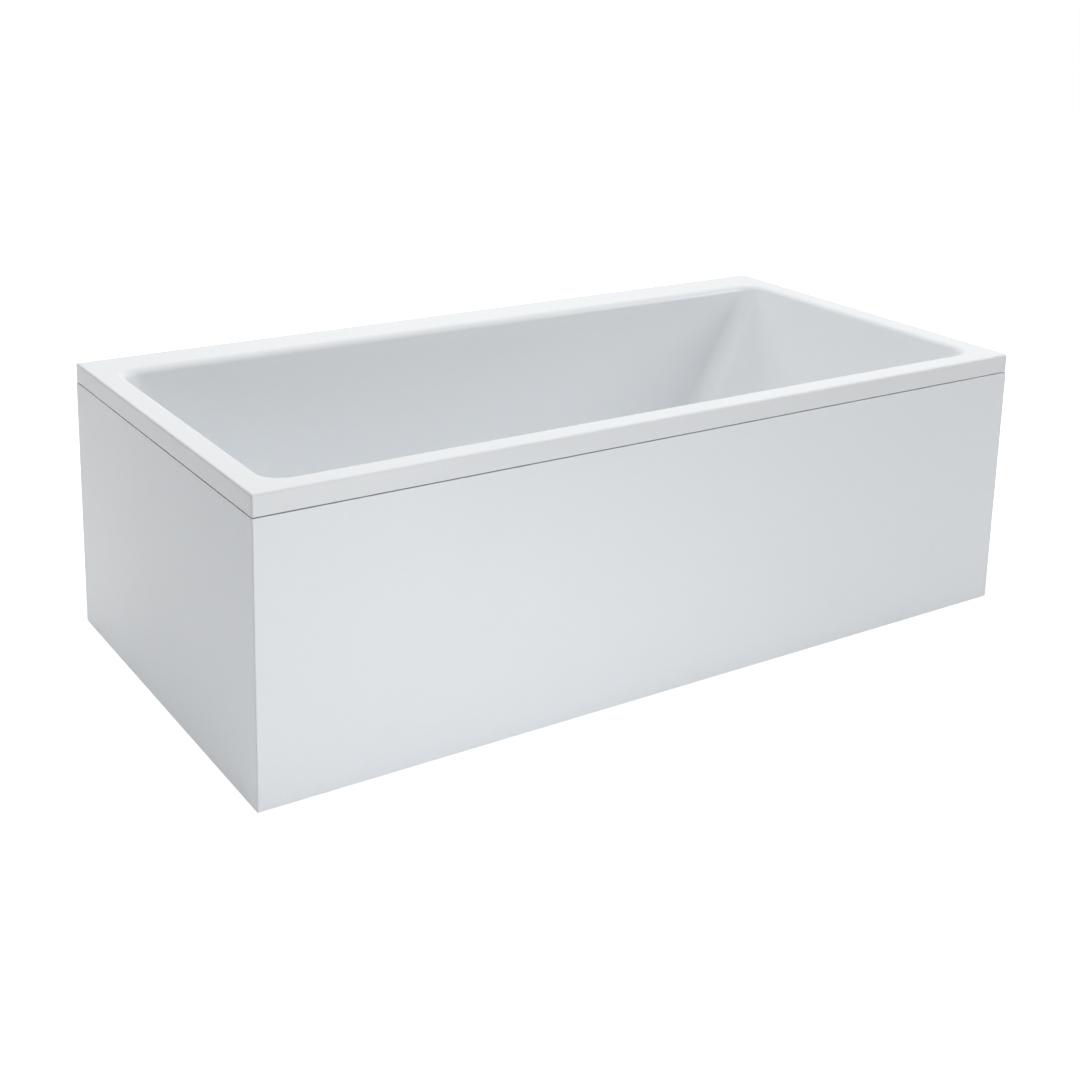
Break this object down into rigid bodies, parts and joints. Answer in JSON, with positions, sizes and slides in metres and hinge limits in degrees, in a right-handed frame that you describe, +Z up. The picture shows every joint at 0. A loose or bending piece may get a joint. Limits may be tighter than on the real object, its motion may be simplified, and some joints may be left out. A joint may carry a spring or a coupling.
{
  "type": "alcove bathtub",
  "caption": "Rectangular built-in bathtub with a white acrylic bowl, an L-shaped removable apron on its front and drain end, a steel frame on levelling feet, and waste and overflow fittings.",
  "frame": {"origin": "on the floor, under the middle of the rim's rectangle", "axes": "+X along the tub from the drain end to the head end, +Y from the room side to the wall side, +Z up"},
  "size_m": [1.8, 0.9, 0.58],
  "materials": {
    "acrylic": "smooth white sanitary acrylic, high gloss",
    "panel_acrylic": "smooth white acrylic sheet, satin gloss",
    "glass_fibre": "sprayed glass-fibre resin, rough and slightly yellow",
    "board": "bare particle board",
    "foam_board": "white rigid foam board",
    "frame_steel": "grey powder-coated steel tube",
    "zinc_steel": "zinc-plated steel",
    "foot_plastic": "black moulded plastic",
    "fitting_plastic": "white moulded polypropylene",
    "black_plastic": "black moulded plastic",
    "rubber": "black rubber",
    "chrome": "polished chrome plate",
    "batten_wood": "planed softwood",
    "magnet": "dark ferrite magnet"
  },
  "bodies": {
    "tub": {"base_board": "board", "board_screws": "zinc_steel", "dip_tube": "fitting_plastic", "drain_cross_rail": "frame_steel", "drain_pipe": "fitting_plastic", "fitting_gaskets": "rubber", "foot_inserts": "zinc_steel", "front_base_rail": "frame_steel", "front_drain_post": "frame_steel", "front_head_post": "frame_steel", "front_middle_post": "frame_steel", "front_rim_rail": "frame_steel", "glass_fibre_backing": "glass_fibre", "head_cross_rail": "frame_steel", "lock_nuts": "zinc_steel", "outlet_pipe": "fitting_plastic", "overflow_body": "fitting_plastic", "overflow_clamp": "fitting_plastic", "overflow_pipe": "fitting_plastic", "panel_brackets": "frame_steel", "panel_magnets": "magnet", "plug_cable": "black_plastic", "second_cross_rail": "frame_steel", "third_cross_rail": "frame_steel", "trap_cup": "fitting_plastic", "tub_shell": "acrylic", "union_nuts": "fitting_plastic", "wall_anchors": "zinc_steel", "wall_base_rail": "frame_steel", "wall_drain_post": "frame_steel", "wall_head_post": "frame_steel", "wall_middle_post": "frame_steel", "wall_rim_rail": "frame_steel", "waste_body": "fitting_plastic", "waste_flange": "chrome"},
    "apron": {"front_panel": "panel_acrylic", "end_panel": "panel_acrylic", "front_panel_board": "foam_board", "end_panel_board": "foam_board", "corner_batten": "batten_wood", "front_hanging_rail": "batten_wood", "end_hanging_rail": "batten_wood", "panel_keepers": "zinc_steel"},
    "knob": {"overflow_knob": "chrome", "knob_shaft": "fitting_plastic"},
    "plug": {"plug_cap": "chrome", "plug_seal": "rubber", "plug_stem": "zinc_steel"},
    "front_drain_foot": {"front_drain_foot_pad": "foot_plastic", "front_drain_foot_spindle": "zinc_steel"},
    "front_middle_foot": {"front_middle_foot_pad": "foot_plastic", "front_middle_foot_spindle": "zinc_steel"},
    "front_head_foot": {"front_head_foot_pad": "foot_plastic", "front_head_foot_spindle": "zinc_steel"},
    "wall_drain_foot": {"wall_drain_foot_pad": "foot_plastic", "wall_drain_foot_spindle": "zinc_steel"},
    "wall_middle_foot": {"wall_middle_foot_pad": "foot_plastic", "wall_middle_foot_spindle": "zinc_steel"},
    "wall_head_foot": {"wall_head_foot_pad": "foot_plastic", "wall_head_foot_spindle": "zinc_steel"}
  },
  "joints": [
    {"name": "knob_turn", "type": "hinge", "parent": "tub", "child": "knob", "pos_m": [-0.8303, -0.0235, 0.505], "axis": [0.9788, 0, 0.2049], "range_deg": [0, 120]},
    {"name": "plug_lift", "type": "slide", "parent": "tub", "child": "plug", "axis": [0, 0, 1], "range_m": [0, 0.01]},
    {"name": "apron_pull", "type": "slide", "parent": "tub", "child": "apron", "axis": [-0.7071, -0.7071, 0], "range_m": [0, 0.25]},
    {"name": "front_drain_foot_level", "type": "slide", "parent": "tub", "child": "front_drain_foot", "axis": [0, 0, -1], "range_m": [-0.01, 0.02]},
    {"name": "front_middle_foot_level", "type": "slide", "parent": "tub", "child": "front_middle_foot", "axis": [0, 0, -1], "range_m": [-0.01, 0.02]},
    {"name": "front_head_foot_level", "type": "slide", "parent": "tub", "child": "front_head_foot", "axis": [0, 0, -1], "range_m": [-0.01, 0.02]},
    {"name": "wall_drain_foot_level", "type": "slide", "parent": "tub", "child": "wall_drain_foot", "axis": [0, 0, -1], "range_m": [-0.01, 0.02]},
    {"name": "wall_middle_foot_level", "type": "slide", "parent": "tub", "child": "wall_middle_foot", "axis": [0, 0, -1], "range_m": [-0.01, 0.02]},
    {"name": "wall_head_foot_level", "type": "slide", "parent": "tub", "child": "wall_head_foot", "axis": [0, 0, -1], "range_m": [-0.01, 0.02]}
  ],
  "couplings": [
    {"joint": "plug_lift", "follows": "knob_turn", "m_per_rad": 0.0047746}
  ]
}
